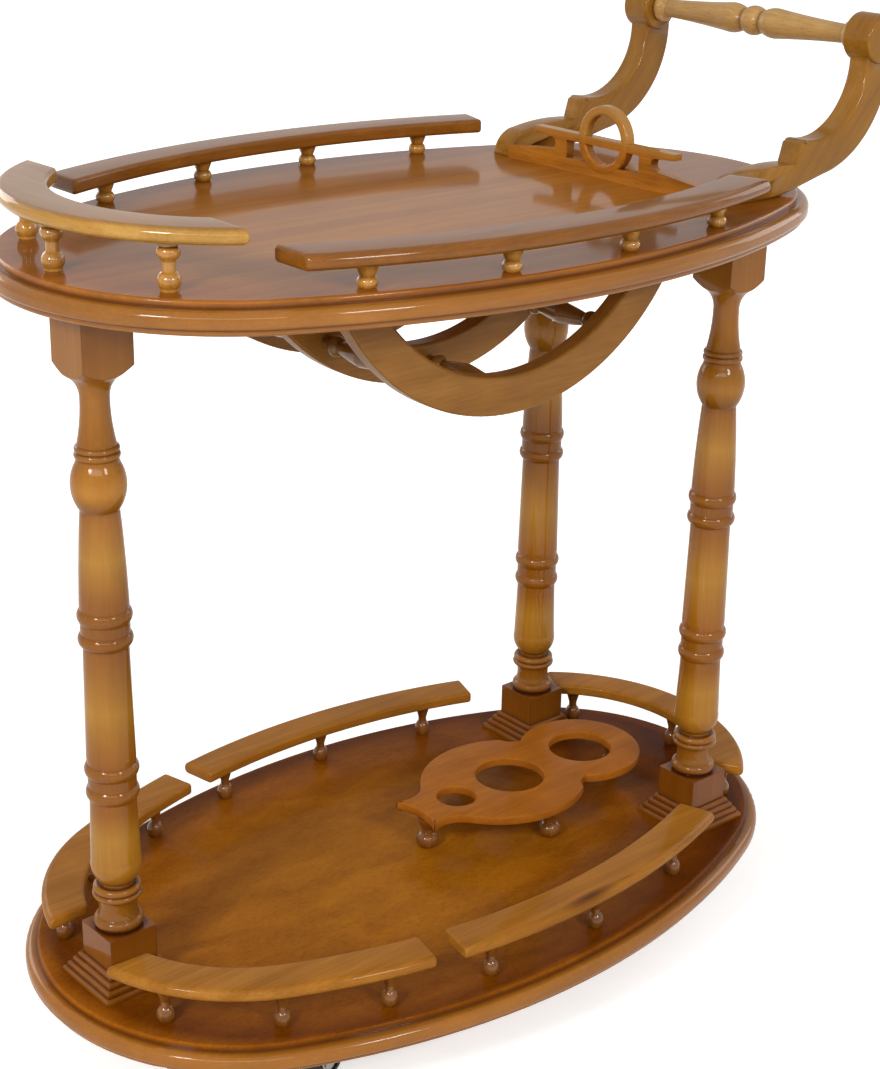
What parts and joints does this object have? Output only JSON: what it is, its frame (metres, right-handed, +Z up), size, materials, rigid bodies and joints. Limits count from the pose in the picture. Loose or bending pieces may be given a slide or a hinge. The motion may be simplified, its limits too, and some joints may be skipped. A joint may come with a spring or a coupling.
{
  "type": "serving trolley",
  "caption": "Oval wooden serving trolley with turned legs, spindle galleries, a curved handle, a bottle cradle under the top, a bottle caddy on the shelf and swivel casters.",
  "frame": {"origin": "on the floor, under the middle of the whole length and width", "axes": "+X towards the handle, -Y the front, +Z up"},
  "size_m": [0.8326, 0.488, 0.8646],
  "materials": {
    "top_lacquer": "clear gloss lacquer over honey stain",
    "shelf_lacquer": "clear gloss lacquer over honey stain, fine mottled grain",
    "leg_lacquer": "clear gloss lacquer over honey stain, turned",
    "rail_lacquer": "clear gloss lacquer over honey stain",
    "spindle_lacquer": "clear gloss lacquer over honey stain, turned",
    "sawn_lacquer": "clear gloss lacquer over honey stain, sawn to shape",
    "plain_beech": "unfinished dowel",
    "caster_metal": "zinc-plated pressed steel",
    "caster_tread": "dark moulded wheel"
  },
  "bodies": {
    "trolley": {"caddy_feet": "spindle_lacquer", "caddy_plate": "sawn_lacquer", "caster_plate_front_left": "caster_metal", "caster_plate_front_right": "caster_metal", "caster_plate_rear_left": "caster_metal", "caster_plate_rear_right": "caster_metal", "caster_screws": "caster_metal", "cradle_hoop_front": "sawn_lacquer", "cradle_hoop_middle": "sawn_lacquer", "cradle_hoop_rear": "sawn_lacquer", "cradle_spindles_front": "spindle_lacquer", "cradle_spindles_rear": "spindle_lacquer", "fretwork_dowels": "plain_beech", "fretwork_panel": "sawn_lacquer", "handle_arm_front": "sawn_lacquer", "handle_arm_rear": "sawn_lacquer", "handle_dowels": "plain_beech", "handle_grip": "spindle_lacquer", "hoop_dowels": "plain_beech", "leg_front": "leg_lacquer", "leg_left": "leg_lacquer", "leg_rear": "leg_lacquer", "lower_end_rail": "rail_lacquer", "lower_end_spindles": "spindle_lacquer", "lower_front_left_rail": "rail_lacquer", "lower_front_left_spindles": "spindle_lacquer", "lower_front_right_rail": "rail_lacquer", "lower_front_right_spindles": "spindle_lacquer", "lower_rear_left_rail": "rail_lacquer", "lower_rear_left_spindles": "spindle_lacquer", "lower_rear_right_rail": "rail_lacquer", "lower_rear_right_spindles": "spindle_lacquer", "lower_shelf": "shelf_lacquer", "top_board": "top_lacquer", "top_end_rail": "rail_lacquer", "top_end_spindles": "spindle_lacquer", "top_front_rail": "rail_lacquer", "top_front_spindles": "spindle_lacquer", "top_rear_rail": "rail_lacquer", "top_rear_spindles": "spindle_lacquer"},
    "fork_front_left": {"caster_fork_front_left": "caster_metal", "caster_axle_front_left": "caster_metal"},
    "wheel_front_left": {"caster_wheel_front_left": "caster_tread"},
    "fork_rear_left": {"caster_fork_rear_left": "caster_metal", "caster_axle_rear_left": "caster_metal"},
    "wheel_rear_left": {"caster_wheel_rear_left": "caster_tread"},
    "fork_front_right": {"caster_fork_front_right": "caster_metal", "caster_axle_front_right": "caster_metal"},
    "wheel_front_right": {"caster_wheel_front_right": "caster_tread"},
    "fork_rear_right": {"caster_fork_rear_right": "caster_metal", "caster_axle_rear_right": "caster_metal"},
    "wheel_rear_right": {"caster_wheel_rear_right": "caster_tread"}
  },
  "joints": [
    {"name": "swivel_front_left", "type": "hinge", "parent": "trolley", "child": "fork_front_left", "pos_m": [-0.2554, -0.14002, 0.047], "axis": [0, 0, 1], "continuous": true},
    {"name": "roll_front_left", "type": "hinge", "parent": "fork_front_left", "child": "wheel_front_left", "pos_m": [-0.2384, -0.14002, 0.02], "axis": [0, 1, 0], "continuous": true},
    {"name": "swivel_rear_left", "type": "hinge", "parent": "trolley", "child": "fork_rear_left", "pos_m": [-0.2554, 0.14002, 0.047], "axis": [0, 0, 1], "continuous": true},
    {"name": "roll_rear_left", "type": "hinge", "parent": "fork_rear_left", "child": "wheel_rear_left", "pos_m": [-0.2384, 0.14002, 0.02], "axis": [0, 1, 0], "continuous": true},
    {"name": "swivel_front_right", "type": "hinge", "parent": "trolley", "child": "fork_front_right", "pos_m": [0.2234, -0.14002, 0.047], "axis": [0, 0, 1], "continuous": true},
    {"name": "roll_front_right", "type": "hinge", "parent": "fork_front_right", "child": "wheel_front_right", "pos_m": [0.2404, -0.14002, 0.02], "axis": [0, 1, 0], "continuous": true},
    {"name": "swivel_rear_right", "type": "hinge", "parent": "trolley", "child": "fork_rear_right", "pos_m": [0.2234, 0.14002, 0.047], "axis": [0, 0, 1], "continuous": true},
    {"name": "roll_rear_right", "type": "hinge", "parent": "fork_rear_right", "child": "wheel_rear_right", "pos_m": [0.2404, 0.14002, 0.02], "axis": [0, 1, 0], "continuous": true}
  ]
}
